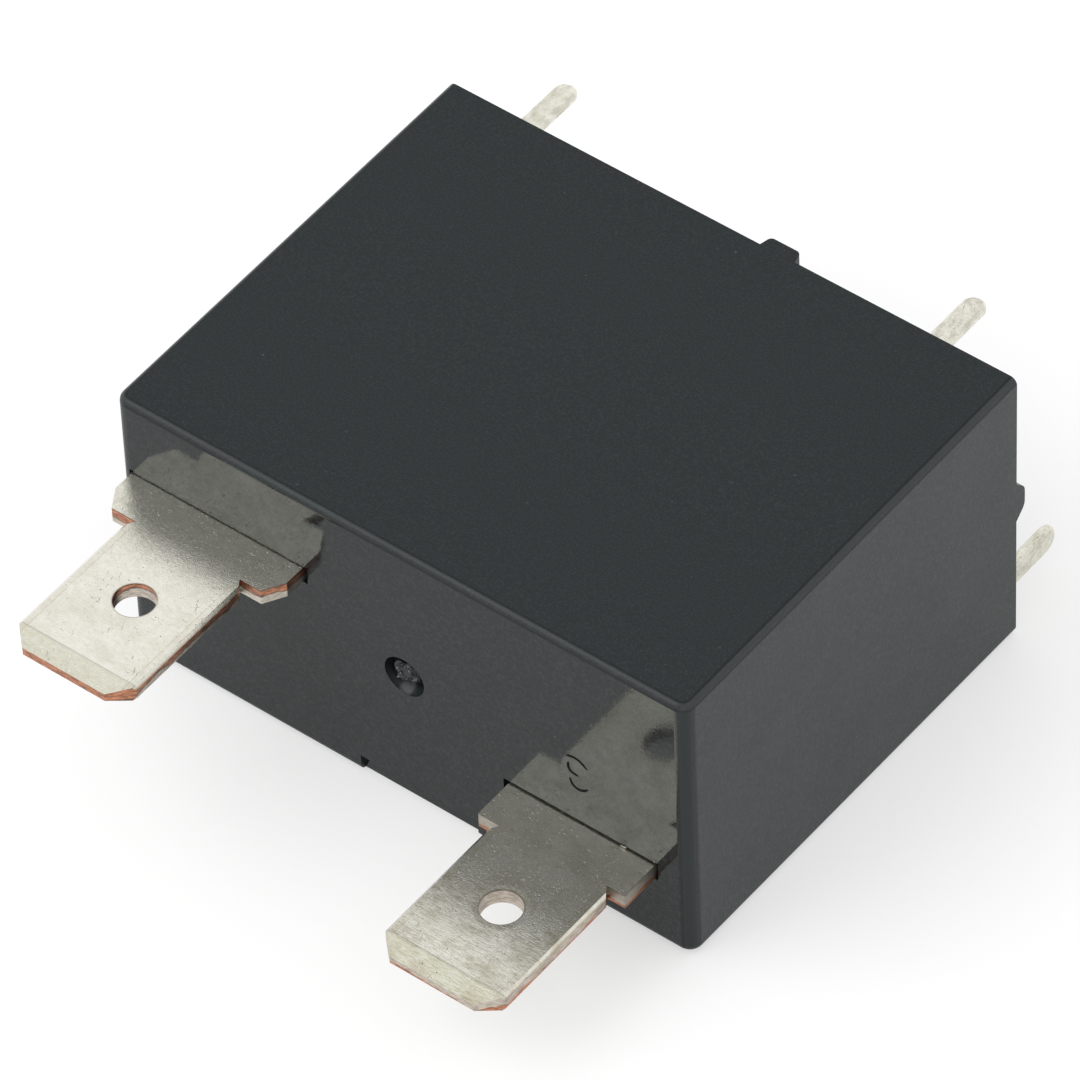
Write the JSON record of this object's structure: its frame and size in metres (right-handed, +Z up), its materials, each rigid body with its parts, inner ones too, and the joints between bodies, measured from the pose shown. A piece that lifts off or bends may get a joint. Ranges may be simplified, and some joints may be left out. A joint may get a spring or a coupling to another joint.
{
  "type": "pcb power relay",
  "caption": "Flat black power relay for a printed board, with blade tabs on one long side and solder pins on the other.",
  "frame": {"origin": "on the surface that the relay lies on, under the middle of its box", "axes": "+Z up out of the wide side that faces up, +Y towards the board pins, -Y towards the blade tabs, X along the case"},
  "size_m": [0.03, 0.0376, 0.0157],
  "materials": {
    "black_case": "fine matte moulded black with glossier tab face",
    "black_base": "moulded black",
    "resin": "poured black epoxy, level and a little glossy",
    "tin_plate": "tin plated copper, brushed, copper showing on the sheared edges",
    "tin_pin": "matte tinned copper",
    "bobbin_plastic": "natural moulded polyester",
    "copper_wire": "enamelled copper wire",
    "tape": "yellow polyester tape",
    "soft_iron": "dull plated soft iron",
    "spring_steel": "bright rolled spring steel",
    "lever_plastic": "moulded polyester",
    "blade_copper": "rolled copper alloy",
    "rivet_brass": "headed brass",
    "contact_silver": "silver alloy contact face"
  },
  "bodies": {
    "housing": {"case_cover": "black_case", "base": "black_base", "sealing_resin": "resin", "terminal_left": "tin_plate", "terminal_right": "tin_plate", "coil_pin_high": "tin_pin", "coil_pin_low": "tin_pin", "bobbin": "bobbin_plastic", "coil_winding": "copper_wire", "coil_tape": "tape", "core": "soft_iron", "yoke": "soft_iron", "return_spring": "spring_steel", "blade_rivet_1": "rivet_brass", "blade_rivet_2": "rivet_brass", "fixed_contact": "contact_silver", "coil_lead_high": "copper_wire", "coil_lead_low": "copper_wire"},
    "armature_lever": {"armature": "soft_iron", "lever": "lever_plastic"},
    "contact_blade": {"moving_blade": "blade_copper", "moving_contact": "contact_silver"}
  },
  "joints": [
    {"name": "armature_tilt", "type": "hinge", "parent": "housing", "child": "armature_lever", "pos_m": [0.00642, 0.00692, 0.01395], "axis": [0, 1, 0], "range_deg": [0, 4.3], "stiffness_Nm_per_rad": 0.004, "springref_deg": -8.59, "deforming": ["return_spring"]},
    {"name": "blade_flex", "type": "hinge", "parent": "housing", "child": "contact_blade", "pos_m": [0.00525, -0.00287, 0.00482], "axis": [0, 1, 0], "range_deg": [0, 3.61], "deforming": ["moving_blade"]}
  ],
  "couplings": [
    {"joint": "blade_flex", "follows": "armature_tilt", "ratio": 0.837}
  ]
}
